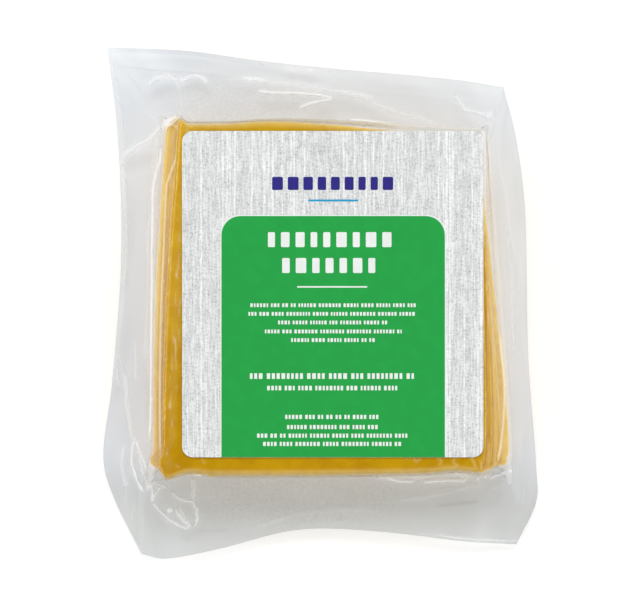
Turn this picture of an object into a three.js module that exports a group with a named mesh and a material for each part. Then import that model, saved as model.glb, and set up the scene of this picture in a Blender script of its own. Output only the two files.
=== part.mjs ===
// A pack of sliced cheddar in a clear vacuum pouch, lying on its back with the label facing up.
// Millimetres, +Z up, +Y towards the label's top edge, origin under the middle of the pouch's outline.
// The pouch is one closed solid, because a vacuum leaves no room between the film and the slices:
// a stepped block where the film follows the slices, inside a thin wavy skirt where the film meets itself.

import * as THREE from 'three';

// Stack of slices
const SLICE_COUNT = 8;
const SLICE_THICKNESS = 2.75;
const STACK_HEIGHT = SLICE_COUNT * SLICE_THICKNESS;
// Corners of the top slice and of the widest slice, in the order of CORNERS. The slices spread
// like a fan towards the pack's lower edge, so the widest one lies low in the stack.
const TOP_SLICE = [[-37.0, 49.4], [-41.9, -46.9], [43.9, -46.0], [44.5, 46.8]];
const WIDE_SLICE = [[-42.2, 49.2], [-46.2, -43.4], [51.3, -43.9], [44.9, 46.0]];
const WIDE_SLICE_INDEX = 3;
const BASE_TUCK = 0.1;
const SLICE_SHIFT = 0.35;
const SLICE_CORNER_RADIUS = 3.4;
const SLICE_EDGE_BOW = 0.6;

// Film and skirt
const FILM_THICKNESS = 0.25;
const SHOULDER_RADIUS = 0.9;
const SKIRT_THICKNESS = 0.9;
const SEAL_THICKNESS = 0.5;
const SKIRT_FOOT_HEIGHT = 9.3;
const SKIRT_FILLET = 1.3;
const SKIRT_CURVE = 1.6;
const RIM_HEIGHT = 4.6;
const WAVE_HEIGHT = 1.5;
const RIPPLE_HEIGHT = 0.35;
const RIPPLE_COUNT = 23;
// Width of the welded band on each side, in the order of SIDES. The filling end is the top one.
const SEAL_WIDTHS = [1.9, 2.0, 2.0, 6.0];
const SEAL_STEP = 0.7;

// Ears: at each corner the film stands off the block in a web, which reaches furthest from it at the
// skirt and closes on it at the top and the base. The reaches are in the order of CORNERS.
const EAR_REACHES = [9.5, 9.5, 7.5, 4.0];
const EAR_HALF_WIDTH = 7.5;
const EAR_TOP_HEIGHT = 20.5;
const EAR_CURVE = 1.4;

// Outline of the pouch: four corners, and the points that bend each side between two of them
const CORNERS = [[-57.6, 69.0], [-49.8, -66.4], [53.1, -65.3], [49.4, 58.3]];
const SIDES = [
  [[-54.9, 46.7], [-53.8, 14.6], [-56.2, -20.5], [-58.7, -42.8], [-56.0, -52.5]],
  [[-42.6, -69.1], [-27.1, -66.4], [-6.3, -61.3], [14.5, -61.6], [40.1, -64.5]],
  [[58.5, -53.2], [58.4, -44.6], [56.3, -15.4], [55.1, 27.8], [52.4, 46.5]],
  [[38.5, 60.1], [2.6, 63.5], [-16.8, 65.6], [-36.0, 68.2]],
];

// Folds of loose film that stand up from the skirt: a line from root to tip, the height at the
// root, which runs out at the tip, and the half width
const FOLDS = [
  { line: [[-42.5, 48.0], [-48.5, 43.5], [-53.6, 39.2]], height: 2.6, halfWidth: 3.6 },
  { line: [[-38.5, 54.5], [-39.5, 59.0], [-47.0, 59.0]], height: 2.2, halfWidth: 3.4 },
  { line: [[-47.5, -45.0], [-52.0, -40.0], [-54.0, -31.0]], height: 2.2, halfWidth: 3.2 },
  { line: [[-41.5, -50.0], [-37.0, -55.5], [-39.0, -60.5]], height: 2.4, halfWidth: 3.2 },
  { line: [[40.0, -48.5], [26.0, -51.5], [10.0, -55.5]], height: 1.6, halfWidth: 3.2 },
  { line: [[8.0, 51.5], [2.3, 55.6], [-15.5, 57.0]], height: 1.8, halfWidth: 3.4 },
  { line: [[44.5, 50.0], [39.5, 51.2], [36.4, 56.2]], height: 1.8, halfWidth: 2.8 },
];
// Share of the skirt's width, next to the block, over which a fold rises
const FOLD_FREE_SHARE = 0.2;

// Label
const LABEL_WIDTH = 80.4;
const LABEL_HEIGHT = 87.1;
const LABEL_RADIUS = 2.9;
const LABEL_CENTRE = [3.3, 2.35];
const LABEL_THICKNESS = 0.25;
const LABEL_GAP = 0.3;

// Fineness of the faceted surfaces
const STATIONS_PER_SIDE = 27;
const CORNER_CROWDING = 0.55;
const ROUNDED_SHARE = 0.12;
const SKIRT_STEPS = 7;
const SLICE_LEVELS = [0.22, 0.78];
const SHOULDER_STEPS = 3;
const FLAT_INSETS = [0.93, 0.5];
const RIM_CURVE_SAMPLES = 400;

const mix = (a, b, share) => a + (b - a) * share;
const mixPoint = (a, b, share) => [mix(a[0], b[0], share), mix(a[1], b[1], share)];
const smooth = (share) => share * share * (3 - 2 * share);
const clamp01 = (value) => Math.min(1, Math.max(0, value));

// Stations go once round the pack, anticlockwise from above, from the top left corner:
// a side from 0 to 3, and how far along that side, closer together near the corners.
function makeStations() {
  const stations = [];
  for (let side = 0; side < SIDES.length; side += 1) {
    for (let step = 0; step < STATIONS_PER_SIDE; step += 1) {
      const even = step / STATIONS_PER_SIDE;
      const along = even - (CORNER_CROWDING * Math.sin(2 * Math.PI * even)) / (2 * Math.PI);
      stations.push({ side, along, turn: (side + even) / SIDES.length });
    }
  }
  return stations;
}

function makeRimCurves() {
  return SIDES.map((bends, side) => {
    const points = [CORNERS[side], ...bends, CORNERS[(side + 1) % CORNERS.length]];
    const curve = new THREE.CatmullRomCurve3(points.map(([x, y]) => new THREE.Vector3(x, y, 0)), false);
    curve.arcLengthDivisions = RIM_CURVE_SAMPLES;
    return curve;
  });
}

const STATIONS = makeStations();
const RIM_CURVES = makeRimCurves();
const RIM = STATIONS.map(({ side, along }) => RIM_CURVES[side].getPointAt(along)).map((p) => [p.x, p.y]);

// Each slice is a four-sided piece with round corners, a little larger and more spread than the
// one on top of it, and lying slightly askew.
function sliceCorners(index) {
  const top = SLICE_COUNT - 1;
  const spread = index < WIDE_SLICE_INDEX
    ? 1 - BASE_TUCK * (WIDE_SLICE_INDEX - index)
    : (top - index) / (top - WIDE_SLICE_INDEX);
  const shift = [SLICE_SHIFT * Math.sin(2.4 * index + 1), SLICE_SHIFT * Math.sin(3.7 * index)];
  return TOP_SLICE.map((corner, k) => {
    const [x, y] = mixPoint(corner, WIDE_SLICE[k], spread);
    return [x + shift[0], y + shift[1]];
  });
}

// A round corner is a quadratic curve from one side to the next with the corner as its handle.
function roundedCorner(before, corner, after, share) {
  const towards = (target) => {
    const length = Math.hypot(target[0] - corner[0], target[1] - corner[1]);
    return mixPoint(corner, target, SLICE_CORNER_RADIUS / length);
  };
  const start = towards(before);
  const end = towards(after);
  return mixPoint(mixPoint(start, corner, share), mixPoint(corner, end, share), share);
}

function slicePoint(corners, { side, along }) {
  const at = (k) => corners[(side + k + corners.length) % corners.length];
  if (along < ROUNDED_SHARE) {
    return roundedCorner(at(-1), at(0), at(1), 0.5 + (0.5 * along) / ROUNDED_SHARE);
  }
  if (along > 1 - ROUNDED_SHARE) {
    return roundedCorner(at(0), at(1), at(2), (0.5 * (along - 1 + ROUNDED_SHARE)) / ROUNDED_SHARE);
  }
  const straight = (along - ROUNDED_SHARE) / (1 - 2 * ROUNDED_SHARE);
  const length = Math.hypot(at(1)[0] - at(0)[0], at(1)[1] - at(0)[1]);
  const inset = SLICE_CORNER_RADIUS / length;
  const [x, y] = mixPoint(at(0), at(1), mix(inset, 1 - inset, straight));
  const bow = SLICE_EDGE_BOW * Math.sin(Math.PI * straight);
  return [x + (bow * (at(1)[1] - at(0)[1])) / length, y - (bow * (at(1)[0] - at(0)[0])) / length];
}

function outwards(point, rimPoint, distance) {
  const length = Math.hypot(rimPoint[0] - point[0], rimPoint[1] - point[1]);
  return mixPoint(point, rimPoint, distance / length);
}

// A slice's outline at one height, moved outwards by the film and the ears; loose is how far the
// ears stand off there, from 0 to 1.
function sliceRing(index, height, growth, loose = 0) {
  const corners = sliceCorners(index);
  return STATIONS.map((station, k) => {
    const distance = growth + loose * earReach(station);
    return [...outwards(slicePoint(corners, station), RIM[k], distance), height];
  });
}

// How far the ears at both ends of a station's side reach there
function earReach({ side, along }) {
  const next = (side + 1) % CORNERS.length;
  const [from, to] = [WIDE_SLICE[side], WIDE_SLICE[next]];
  const length = Math.hypot(to[0] - from[0], to[1] - from[1]);
  const near = (share) => smooth(clamp01(1 - (share * length) / EAR_HALF_WIDTH));
  return EAR_REACHES[side] * near(along) + EAR_REACHES[next] * near(1 - along);
}

function earLooseness(height) {
  const reach = height > SKIRT_FOOT_HEIGHT ? EAR_TOP_HEIGHT - SKIRT_FOOT_HEIGHT : SKIRT_FOOT_HEIGHT;
  return clamp01(1 - Math.abs(height - SKIRT_FOOT_HEIGHT) / reach) ** EAR_CURVE;
}

// Shortest distance from a point to a fold's line, and how far along the line that is, from 0 to 1
function nearestOnLine(line, [x, y]) {
  let best = { distance: Infinity, share: 0 };
  for (let k = 0; k + 1 < line.length; k += 1) {
    const [ax, ay] = line[k];
    const [dx, dy] = [line[k + 1][0] - ax, line[k + 1][1] - ay];
    const share = clamp01(((x - ax) * dx + (y - ay) * dy) / (dx * dx + dy * dy));
    const distance = Math.hypot(ax + share * dx - x, ay + share * dy - y);
    if (distance < best.distance) best = { distance, share: (k + share) / (line.length - 1) };
  }
  return best;
}

function foldLift(point) {
  return FOLDS.reduce((lift, { line, height, halfWidth }) => {
    const { distance, share } = nearestOnLine(line, point);
    return Math.max(lift, height * (1 - share) * smooth(clamp01(1 - distance / halfWidth)));
  }, 0);
}

// Middle of the skirt's thickness: it falls away from the block and waves more towards the rim.
function skirtHeight(share, { turn }) {
  const angle = 2 * Math.PI * turn;
  const wave = WAVE_HEIGHT * (Math.sin(3 * angle + 0.6) + 0.5 * Math.sin(7 * angle + 2));
  const ripple = RIPPLE_HEIGHT * Math.sin(RIPPLE_COUNT * angle + 4 * share);
  const loose = smooth(1 - share);
  return mix(RIM_HEIGHT + wave * loose, SKIRT_FOOT_HEIGHT, share ** SKIRT_CURVE) + ripple * loose;
}

// The welded band's width at a station, blended from one side to the next near the corners
function sealWidth({ side, along }) {
  const next = SEAL_WIDTHS[(side + 1) % SEAL_WIDTHS.length];
  const last = SEAL_WIDTHS[(side + SEAL_WIDTHS.length - 1) % SEAL_WIDTHS.length];
  const own = SEAL_WIDTHS[side];
  const start = mix((own + last) / 2, own, smooth(clamp01(along / ROUNDED_SHARE)));
  return mix(start, (own + next) / 2, smooth(clamp01((along - 1 + ROUNDED_SHARE) / ROUNDED_SHARE)));
}

// One face of the skirt, as rings from the rim to the block; facing is 1 for the upper face and
// -1 for the lower one, which has no folds.
function skirtRings(facing) {
  const foot = sliceRing(WIDE_SLICE_INDEX, 0, SKIRT_FILLET, 1);
  const columns = STATIONS.map((station, k) => {
    const width = Math.hypot(foot[k][0] - RIM[k][0], foot[k][1] - RIM[k][1]);
    const seal = sealWidth(station) / width;
    const inner = seal + SEAL_STEP / width;
    const shares = [0, seal];
    for (let step = 0; step <= SKIRT_STEPS; step += 1) {
      shares.push(mix(inner, 1, step / SKIRT_STEPS));
    }
    return shares.map((share, row) => {
      const [x, y] = mixPoint(RIM[k], foot[k], share);
      const thickness = row < 2 ? SEAL_THICKNESS : SKIRT_THICKNESS;
      const free = smooth(clamp01(share / inner)) * smooth(clamp01((1 - share) / FOLD_FREE_SHARE));
      const lift = facing > 0 ? foldLift([x, y]) * free : 0;
      return [x, y, skirtHeight(share, station) + (facing * thickness) / 2 + lift];
    });
  });
  return columns[0].map((_, row) => columns.map((column) => column[row]));
}

// The block's wall, from the base or from the skirt to the shoulder
function wallRings(lowest, highest) {
  const rings = [];
  for (let index = 0; index < SLICE_COUNT; index += 1) {
    for (const level of SLICE_LEVELS) {
      const height = (index + level) * SLICE_THICKNESS;
      if (height > lowest && height < highest) {
        rings.push(sliceRing(index, height, FILM_THICKNESS, earLooseness(height)));
      }
    }
  }
  return rings;
}

// Round edge between the wall and a flat face; facing is 1 at the top and -1 at the base.
function shoulderRings(index, faceHeight, facing) {
  const rings = [];
  for (let step = 0; step <= SHOULDER_STEPS; step += 1) {
    const angle = (Math.PI / 2) * (step / SHOULDER_STEPS);
    const height = faceHeight - facing * SHOULDER_RADIUS * (1 - Math.sin(angle));
    rings.push(sliceRing(index, height, FILM_THICKNESS - SHOULDER_RADIUS * (1 - Math.cos(angle))));
  }
  return rings;
}

function flatRings(edge, centre) {
  return FLAT_INSETS.map((inset) => edge.map(([x, y, z]) => [...mixPoint(centre, [x, y], inset), z]));
}

function centreOf(ring) {
  const sum = ring.reduce(([x, y], point) => [x + point[0], y + point[1]], [0, 0]);
  return [sum[0] / ring.length, sum[1] / ring.length];
}

// A closed surface from a pole, over rings of equal length, to a second pole
function closedLoft(firstPole, rings, lastPole) {
  const count = rings[0].length;
  const positions = [firstPole, ...rings.flat(), lastPole].flat();
  const at = (ring, k) => 1 + ring * count + (k % count);
  const last = rings.length - 1;
  const index = [];
  for (let k = 0; k < count; k += 1) {
    index.push(0, at(0, k + 1), at(0, k));
    for (let ring = 0; ring < last; ring += 1) {
      index.push(at(ring, k), at(ring, k + 1), at(ring + 1, k + 1));
      index.push(at(ring, k), at(ring + 1, k + 1), at(ring + 1, k));
    }
    index.push(at(last, k), at(last, k + 1), rings.length * count + 1);
  }
  const geometry = new THREE.BufferGeometry();
  geometry.setAttribute('position', new THREE.Float32BufferAttribute(positions, 3));
  geometry.setIndex(index);
  geometry.computeVertexNormals();
  return geometry;
}

function makePouchGeometry() {
  const baseEdge = shoulderRings(0, 0, -1).reverse();
  const topEdge = shoulderRings(SLICE_COUNT - 1, STACK_HEIGHT, 1);
  const baseCentre = centreOf(baseEdge[0]);
  const topCentre = centreOf(topEdge[topEdge.length - 1]);
  const halfGap = SKIRT_FILLET + SKIRT_THICKNESS / 2;
  const rings = [
    ...flatRings(baseEdge[0], baseCentre).reverse(),
    ...baseEdge,
    ...wallRings(SHOULDER_RADIUS, SKIRT_FOOT_HEIGHT - halfGap),
    ...skirtRings(-1).reverse(),
    ...skirtRings(1),
    ...wallRings(SKIRT_FOOT_HEIGHT + halfGap, STACK_HEIGHT - SHOULDER_RADIUS),
    ...topEdge,
    ...flatRings(topEdge[topEdge.length - 1], topCentre),
  ];
  return closedLoft([...baseCentre, 0], rings, [...topCentre, STACK_HEIGHT]);
}

function makePouch() {
  const material = new THREE.MeshStandardMaterial({ color: 0xd9a83f, roughness: 0.3, metalness: 0 });
  const pouch = new THREE.Mesh(makePouchGeometry(), material);
  pouch.name = 'pouch';
  return pouch;
}

function makeLabel() {
  const [right, top] = [LABEL_WIDTH / 2, LABEL_HEIGHT / 2];
  const outline = new THREE.Shape();
  outline.moveTo(-right + LABEL_RADIUS, -top);
  outline.absarc(right - LABEL_RADIUS, -top + LABEL_RADIUS, LABEL_RADIUS, -Math.PI / 2, 0);
  outline.absarc(right - LABEL_RADIUS, top - LABEL_RADIUS, LABEL_RADIUS, 0, Math.PI / 2);
  outline.absarc(-right + LABEL_RADIUS, top - LABEL_RADIUS, LABEL_RADIUS, Math.PI / 2, Math.PI);
  outline.absarc(-right + LABEL_RADIUS, -top + LABEL_RADIUS, LABEL_RADIUS, Math.PI, (3 * Math.PI) / 2);
  const geometry = new THREE.ExtrudeGeometry(outline, { depth: LABEL_THICKNESS, bevelEnabled: false });
  const material = new THREE.MeshStandardMaterial({ color: 0xe4e5e4, roughness: 0.6, metalness: 0 });
  const label = new THREE.Mesh(geometry, material);
  label.name = 'label';
  label.position.set(...LABEL_CENTRE, STACK_HEIGHT + LABEL_GAP);
  return label;
}

function makePack() {
  const pouch = makePouch();
  const contents = new THREE.Group();
  contents.add(pouch, makeLabel());
  pouch.geometry.computeBoundingBox();
  const middle = pouch.geometry.boundingBox.getCenter(new THREE.Vector3());
  contents.position.set(-middle.x, -middle.y, 0);
  const pack = new THREE.Group();
  pack.add(contents);
  return pack;
}

export default makePack();
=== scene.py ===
import math

import bpy
import numpy as np
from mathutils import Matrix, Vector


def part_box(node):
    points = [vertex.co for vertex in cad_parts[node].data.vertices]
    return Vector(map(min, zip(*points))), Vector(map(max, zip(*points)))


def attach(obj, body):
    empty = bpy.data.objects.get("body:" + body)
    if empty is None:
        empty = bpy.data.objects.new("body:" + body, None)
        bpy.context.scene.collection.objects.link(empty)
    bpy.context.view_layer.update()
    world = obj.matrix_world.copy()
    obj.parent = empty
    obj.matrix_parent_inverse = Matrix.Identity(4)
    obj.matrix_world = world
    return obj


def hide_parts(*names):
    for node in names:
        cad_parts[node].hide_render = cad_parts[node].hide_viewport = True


# A pack of sliced cheddar: eight slices in a clear vacuum pouch, with a printed label on its upper
# face. Lengths are millimetres in the functions, and become metres where a mesh is made.

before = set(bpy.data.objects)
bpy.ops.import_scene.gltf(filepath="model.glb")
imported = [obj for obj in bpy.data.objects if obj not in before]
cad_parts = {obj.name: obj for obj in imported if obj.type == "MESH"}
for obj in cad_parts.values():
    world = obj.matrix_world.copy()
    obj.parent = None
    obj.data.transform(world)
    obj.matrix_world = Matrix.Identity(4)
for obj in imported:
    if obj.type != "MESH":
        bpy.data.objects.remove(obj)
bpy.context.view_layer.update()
MM = 0.001
LABEL_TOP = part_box("label")[1][2] / MM
SEED = 7

# Stack of slices: corners go anticlockwise from the top left one, and sides from the left one. The
# film's outline follows the top slice, and at the foot of the fan the widest one.
SLICE_COUNT = 8
SLICE_THICKNESS = 2.75
STACK_HEIGHT = SLICE_COUNT * SLICE_THICKNESS
TOP_FILM = np.array([(-37.3, 48.0), (-42.0, -46.6), (43.9, -45.7), (44.2, 46.3)])
WIDE_FILM = np.array([(-42.2, 48.2), (-45.7, -43.4), (50.9, -43.9), (44.6, 45.5)])
# The slices lie inside it, and it stands off them at the top right corner.
TOP_SLICE = np.array([(-37.2, 47.7), (-41.9, -46.4), (43.8, -45.4), (43.0, 43.8)])
WIDE_SLICE = np.array([(-42.0, 47.9), (-45.3, -43.3), (50.2, -43.6), (42.4, 42.4)])
WIDE_SLICE_INDEX = 3
BASE_TUCK = 0.1
SLICE_SHIFT = 0.35
CORNER_RADIUS = 2.4
# Each side bows outwards: by how much, and where along it is the furthest (below 1 is early).
FILM_BOWS = np.array([1.0, 0.5, 0.8, 1.45])
SLICE_BOWS = np.array([0.95, 0.4, 1.1, 1.9])
BOW_SKEWS = np.array([1.0, 1.0, 0.45, 1.475])
# Small points and dents of the slices' outline: along which axis (0 is x, 1 is y) and at which end of
# it they lie, their place on the other axis, half width, and how far the outline moves outwards.
DENTS = (
    (1, 1, -37.9, 1.4, 1.7), (1, -1, -41.6, 3.0, 1.2), (0, -1, -42.9, 1.8, 1.1),
    (1, -1, -34.5, 4.2, -0.6), (1, -1, 35.5, 4.0, -0.5), (1, -1, 43.0, 2.0, 0.45),
    (1, 1, -25.0, 7.5, -0.5),
)
DENT_START = 30.0
DENT_END = 42.0
SLICE_INSET = 0.15
SLICE_EDGE_RADIUS = 0.55
SLICE_BASE_GAP = 0.1
SLICE_BODY = 2.62
CHEESE_CRUMB = 0.09
# How pale each side is, in painted highlight: of the fanned slices and those under the widest one, for
# some way in from their edges, and of every slice's face close to its edge
FAN_PALES = (0.7, 0.3, 0.85, 0.3)
LOWER_PALES = (0.32, 0.22, 0.36, 0.22)
FAN_PALE_REACH = 14.0
FACE_PALES = (0.0, 0.6, 0.1, 0.5)
FACE_PALE_REACH = 2.1
# A small bump on the top slice's lower edge
BUMP_X = -29.0
BUMP_HALF_WIDTH = 1.1
BUMP_HEIGHT = 0.6

# Film and skirt
FILM_GROWTH = 0.25
SHOULDER_RADIUS = 0.9
SKIRT_GAP = 0.24
SEAL_GAP = 0.06
SKIRT_FOOT_HEIGHT = 9.3
SKIRT_FILLET = 1.0
FILLET_HEIGHT = 1.9
SKIRT_CURVE = 1.6
RIM_HEIGHT = 4.6
WAVE_HEIGHT = 1.5
RIPPLE_HEIGHT = 0.35
RIPPLE_COUNT = 23
SEAL_WIDTHS = (1.9, 2.0, 2.0, 6.0)
EAR_REACHES = (3.8, 6.5, 4.5, 3.5)
EAR_HALF_WIDTH = 8.0
EAR_TOP_HEIGHT = 20.5
EAR_CURVE = 1.4
LOWEST_FILM = 0.03
FACE_LIFT = 0.05

# Outline of the pouch: four corners, and the points that bend each side between two of them
CORNERS = np.array([(-57.6, 69.0), (-48.4, -67.9), (53.1, -65.3), (49.4, 58.3)])
SIDES = (
    ((-54.9, 46.7), (-53.8, 14.6), (-56.2, -20.5), (-58.7, -42.8), (-56.0, -52.5)),
    ((-42.6, -69.1), (-27.1, -66.4), (-6.3, -61.3), (14.5, -61.6), (40.1, -64.5)),
    ((58.5, -53.2), (58.4, -44.6), (56.3, -15.4), (55.1, 27.8), (52.4, 46.5)),
    ((38.5, 60.1), (2.6, 63.5), (-16.8, 65.6), (-36.0, 68.2)),
)

# Creases of the film: line, height, half width, and the crest's painted highlight (below 0, painted shade)
CREASE_RELIEF = 0.5
TOP_LEFT_CREASES = (
    (((-37.1, 51), (-39.6, 49.4), (-43.3, 47.2), (-45.5, 44.6), (-48.7, 42.7), (-51.4, 41),
      (-53.9, 39)), 1.1, 0.7, 0.9),
    (((-42.9, 42), (-43.2, 38.4), (-44.4, 34.4), (-45.1, 30.5), (-45.2, 25)), 0.4, 0.5, 0.95),
    (((-44, 46.2), (-44.3, 41), (-45.2, 36)), 0.1, 1.5, 0.22),
    (((-36.6, 51.6), (-39.5, 51.5), (-42.8, 50.4), (-44, 49.2)), 0.25, 0.4, 0.15),
    (((-47, 58.6), (-45.3, 60.1), (-43.3, 61), (-40.6, 61.3), (-38.5, 59.9)), 0.3, 1, 0.6),
    (((-38.5, 59.6), (-36.2, 60.8), (-33.9, 61.6), (-31.7, 60.8), (-30.3, 59.1)), 0.3, 0.9, 0.6),
    (((-38.5, 59.7), (-37.9, 56), (-37.2, 51.8)), 0.3, 0.5, 0.15),
    (((-36.6, 59), (-36.4, 55), (-36.6, 51.6)), 0.25, 0.4, 0.1),
    (((-35.6, 51.4), (-34.6, 49.6), (-32.6, 48.9)), 0.3, 0.35, 0.5),
)
TOP_CREASES = (
    (((-17.5, 57.3), (-13.1, 56.8), (-6.3, 56.7), (0, 56.1), (3.6, 55.2)), 0.5, 0.4, 0.9),
    (((3.6, 55.2), (0.5, 54.6), (-3, 53.8), (-6, 52.6)), 0.4, 0.35, 0.8),
    (((-26, 60.5), (-17, 60.2), (-6.5, 58.8), (5.3, 57), (12.6, 55.6), (15.6, 53.4), (21.5, 51.2),
      (28.2, 49.4), (32.3, 47.2)), 0.55, 1.1, 0.3),
    (((7.2, 49.4), (12.6, 49.1), (17.4, 48.4), (21.5, 47.5), (24.2, 46.4)), 0.3, 0.3, 1),
    (((36.3, 56.4), (38, 54), (39, 52.1), (42.5, 51.3), (45.4, 50)), 0.6, 0.5, 0.55),
)
LEFT_CREASES = (
    (((-45.1, 30.5), (-45.2, 25), (-45.4, 12), (-45.5, 0), (-45.6, -11), (-45.6, -22),
      (-45.8, -32), (-46.3, -38.5)), 0.35, 0.35, 1),
    (((-54, 38), (-53.1, 33), (-52.5, 22), (-52.4, 12), (-53.2, 4)), 0.2, 0.6, 0.35),
    (((-55.4, -16.8), (-54.4, -22.4)), 0.2, 0.35, 0.5),
    (((-54.3, -14.2), (-53.4, -19)), 0.15, 0.35, 0.3),
    (((-53, -18), (-52.3, -26), (-51.4, -33), (-50.6, -37.5)), 0.25, 0.9, 0.3),
    (((-49.9, -10), (-49.8, -21)), 0.15, 0.45, 0.2),
)
BOTTOM_LEFT_CREASES = (
    (((-50, -36.2), (-50.8, -39.8), (-51, -43.2), (-49.2, -48.6), (-47.6, -51.2)), 0.7, 0.4, 0.75),
    (((-50, -36.2), (-48.4, -40.8), (-46.6, -45.4), (-45, -48.7)), 0.6, 0.4, 0.6),
    (((-49.3, -40.5), (-47.9, -45.6), (-45.8, -50.2)), 0.35, 0.3, 0.35),
    (((-45.6, -48.6), (-45.2, -50.8), (-45.4, -53.6)), 0.7, 0.35, 0.9),
    (((-45.6, -48.5), (-43.6, -49), (-41.4, -49.8)), 0.4, 0.3, 0.7),
    (((-43.1, -49.6), (-44.6, -51.6), (-45.4, -53.6)), 0.5, 0.35, 0.8),
    (((-40.6, -50.4), (-39, -52.1), (-36.6, -53.4), (-34.6, -53.6), (-33.4, -55.8), (-33.2, -58.4),
      (-33.9, -60.6)), 0.6, 0.35, 0.75),
    (((-45.4, -53.6), (-43.8, -55.8), (-41, -58.4), (-37.8, -60.3), (-35.2, -61)), 0.5, 0.35, 0.6),
    (((-39.2, -55.6), (-37.2, -58.6), (-35, -60.8)), 0.6, 0.35, 0.7),
    (((-38.4, -54.6), (-36.4, -58.4), (-35, -60.6)), 0.3, 0.3, 0.4),
    (((-41, -55.5), (-40.3, -56.5)), 0.4, 0.9, 0.85),
    (((-34.3, -47), (-34.2, -50), (-34.4, -53.2)), 0.5, 0.7, 0.6),
    (((-53.2, -38), (-53.8, -44), (-52.6, -50)), 0.2, 0.7, 0.3),
)
BOTTOM_RIGHT_CREASES = (
    (((14, -46.8), (20, -47), (30, -46.7), (37, -46.3), (41, -46.2)), 0.1, 1.5, 0.62),
    (((17.5, -46.8), (20.9, -47.9), (25.9, -48.2)), 0.4, 0.45, 0.9),
    (((27.2, -48.3), (32, -47.8), (37.6, -47.8), (39.4, -48.2)), 0.45, 0.65, 1),
    (((35.4, -45.2), (37.6, -46.2), (39.4, -48.2)), 0.4, 0.4, 0.95),
    (((37, -44.9), (39, -46), (40.2, -47.6)), 0.35, 0.4, 0.8),
    (((45.4, -47.3), (47.6, -46.4), (49.8, -45.7), (51.9, -44.9)), 0.35, 0.5, 0.8),
    (((42, -47.6), (42.9, -47.3)), 0.3, 0.8, 0.9),
    (((44.2, -47.1), (44.9, -46.3)), 0.3, 0.7, 0.9),
    (((20, -53.4), (30, -52), (38, -50), (44, -48.6)), 0.35, 0.9, 0.2),
    (((31, -54.8), (36, -54.3), (43, -53.4)), -0.2, 0.7, -0.5),
    (((44, -52), (50, -48.4), (53, -44)), 0.08, 0.8, 0.05),
)
BOTTOM_CREASES = (
    (((-33, -61.6), (-24.4, -61.3)), -0.2, 0.4, -0.3),
    (((-19, -61), (-11.5, -58.8), (-5.5, -57), (5.3, -55.4), (17, -56.4)), 0.3, 0.9, 0.12),
    (((-5.5, -60.2), (6.6, -58.9)), 0.2, 0.5, 0.1),
)
RIGHT_CREASES = (
    (((50, 22), (51.2, 12), (51.8, -4), (52.2, -14)), 0.2, 0.7, 0.15),
    (((52, 10), (52.4, -2)), 0.12, 0.3, 0.1),
    (((54, 6), (54.4, -8)), 0.1, 0.3, 0),
)
SKIRT_CREASES = (
    TOP_LEFT_CREASES + TOP_CREASES + LEFT_CREASES + BOTTOM_LEFT_CREASES + BOTTOM_RIGHT_CREASES
    + BOTTOM_CREASES + RIGHT_CREASES
)
# Creases of the film over the fan of slices and over the top left corner, with painted highlights
BLOCK_CREASES = (
    (((-36.5, 51), (-38.9, 49.9), (-40.9, 48.5), (-43, 46.6), (-45, 44.8)), 0.5, 1.5, 0.95),
    (((-37.3, 42.1), (-38.4, 38.9), (-41.2, 32), (-41.5, 27.7), (-42, 14.3), (-42.6, 0.9),
      (-42.9, -12.5), (-43, -25.9), (-42.9, -36.7), (-42.7, -42.6)), 0.15, 0.45, 0.7),
    (((-37.9, 44), (-38.9, 37), (-39.6, 27.7), (-40.4, 11.6), (-41.1, 0.9), (-41.7, -12.5),
      (-41.7, -25.9), (-41.6, -40)), 0.1, 0.8, 0.2),
    (((-40.1, 47.8), (-38.5, 47.2), (-37.6, 45.9), (-37.2, 43.5)), 0.1, 0.3, 0.5),
    (((48, -6.5), (48.5, -12.5), (49.4, -20.6), (49.5, -25.9), (49.1, -32.6), (48.2, -39.3),
      (47.4, -42.6)), 0.15, 0.5, 0.75),
    (((44.8, 6.2), (45.3, -4.5), (46, -12.5), (46.4, -20.6), (46.6, -25.9), (46.7, -32.6),
      (46.7, -39.3), (46.3, -43.4)), 0.1, 0.6, 0.35),
    (((45, -37), (45, -40), (44.6, -42.8)), 0.1, 0.4, 0.3),
)
# A painted sheen of the film on the cheese: how much paler it makes each side's wall and each upper
# edge, how grey the edge is in painted shade, and how far they reach over the face
WALL_SHEENS = (0.05, 0.06, 0.02, 0.04)
EDGE_SHEENS = (0.05, 0.14, 0.02, 0.09)
EDGE_SHADES = (0.0, 1.0, 0.0, 0.35)
SHEEN_AND_SHADE_REACH = 1.8
# How white the film's painted sheen is where it stands off the slices, and left of the label, with painted
# glints
STAND_OFF_SHEEN = 0.45
LEFT_SHEEN = 0.09
GLINT_WHITENESS = 0.5
# Small folds and blisters of the film on the cheese, beside the label, with painted highlights
FACE_CREASES = (
    (((24.6, -41.2), (25.8, -42.4), (26.9, -41.2)), 0.1, 0.4, 0.35),
    (((22.6, -41.3), (23.4, -41.6)), 0.1, 0.4, 0.25),
    (((31.1, -40.9), (32.3, -42.0), (31.8, -43.4)), 0.1, 0.4, 0.3),
    (((37.6, -41.2), (36.4, -40.9), (35.4, -42.0), (36.0, -43.3), (37.2, -43.2)), 0.1, 0.4, 0.35),
    (((39.6, -40.6), (40.9, -42.4), (41.6, -44.4)), 0.12, 0.5, 0.35),
    (((42.6, -42.0), (43.2, -44.4)), 0.12, 0.4, 0.3),
    (((-31.6, -41.6), (-31.0, -43.0)), 0.1, 0.3, 0.3),
    (((-38.6, -43.2), (-37.6, -44.2)), 0.1, 0.4, 0.25),
    (((-41.6, -48.0), (-39.2, -47.3), (-36.3, -46.4), (-33.4, -46.1), (-31.0, -46.2)), 0.1, 0.5, 0.95),
)
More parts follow.
